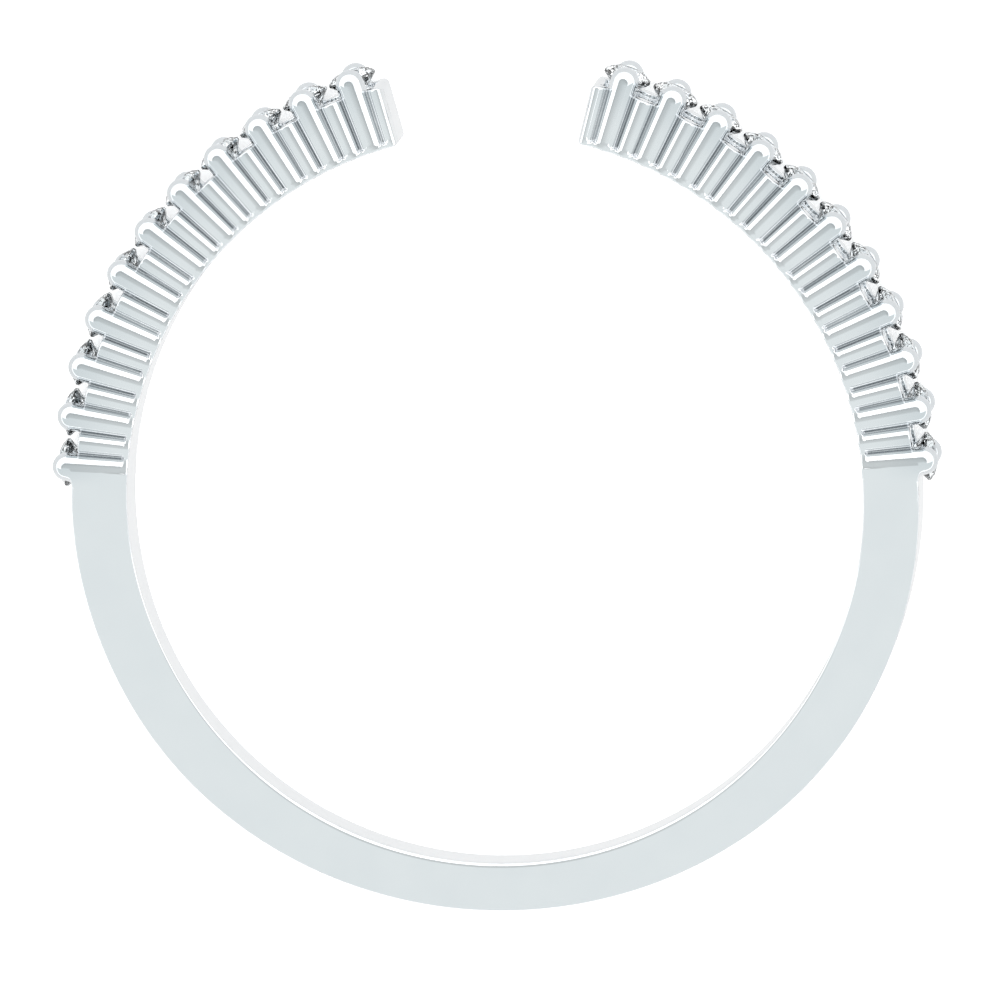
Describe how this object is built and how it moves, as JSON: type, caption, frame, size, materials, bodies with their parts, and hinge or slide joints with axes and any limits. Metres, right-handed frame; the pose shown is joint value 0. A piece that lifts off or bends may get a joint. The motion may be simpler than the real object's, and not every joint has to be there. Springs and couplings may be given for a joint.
{
  "type": "anniversary band",
  "caption": "Open-topped finger ring: a plain flat-sided shank whose two arms carry a row of round stones, each held between tall round-topped prongs.",
  "frame": {"origin": "centre of the finger hole, in the middle plane of the ring", "axes": "+Z along the finger's axis, up from the floor on which the ring lies on its side; +Y from the centre toward the gap between the arms; +X toward the right arm"},
  "size_m": [0.0208, 0.0199, 0.0022],
  "materials": {
    "white_gold": "polished white metal",
    "clear_stone": "clear faceted stone"
  },
  "bodies": {
    "root": {"band": "white_gold", "stone_left_01": "clear_stone", "stone_left_02": "clear_stone", "stone_left_03": "clear_stone", "stone_left_04": "clear_stone", "stone_left_05": "clear_stone", "stone_left_06": "clear_stone", "stone_left_07": "clear_stone", "stone_left_08": "clear_stone", "stone_left_09": "clear_stone", "stone_left_10": "clear_stone", "stone_left_11": "clear_stone", "stone_right_01": "clear_stone", "stone_right_02": "clear_stone", "stone_right_03": "clear_stone", "stone_right_04": "clear_stone", "stone_right_05": "clear_stone", "stone_right_06": "clear_stone", "stone_right_07": "clear_stone", "stone_right_08": "clear_stone", "stone_right_09": "clear_stone", "stone_right_10": "clear_stone", "stone_right_11": "clear_stone"}
  },
  "joints": []
}
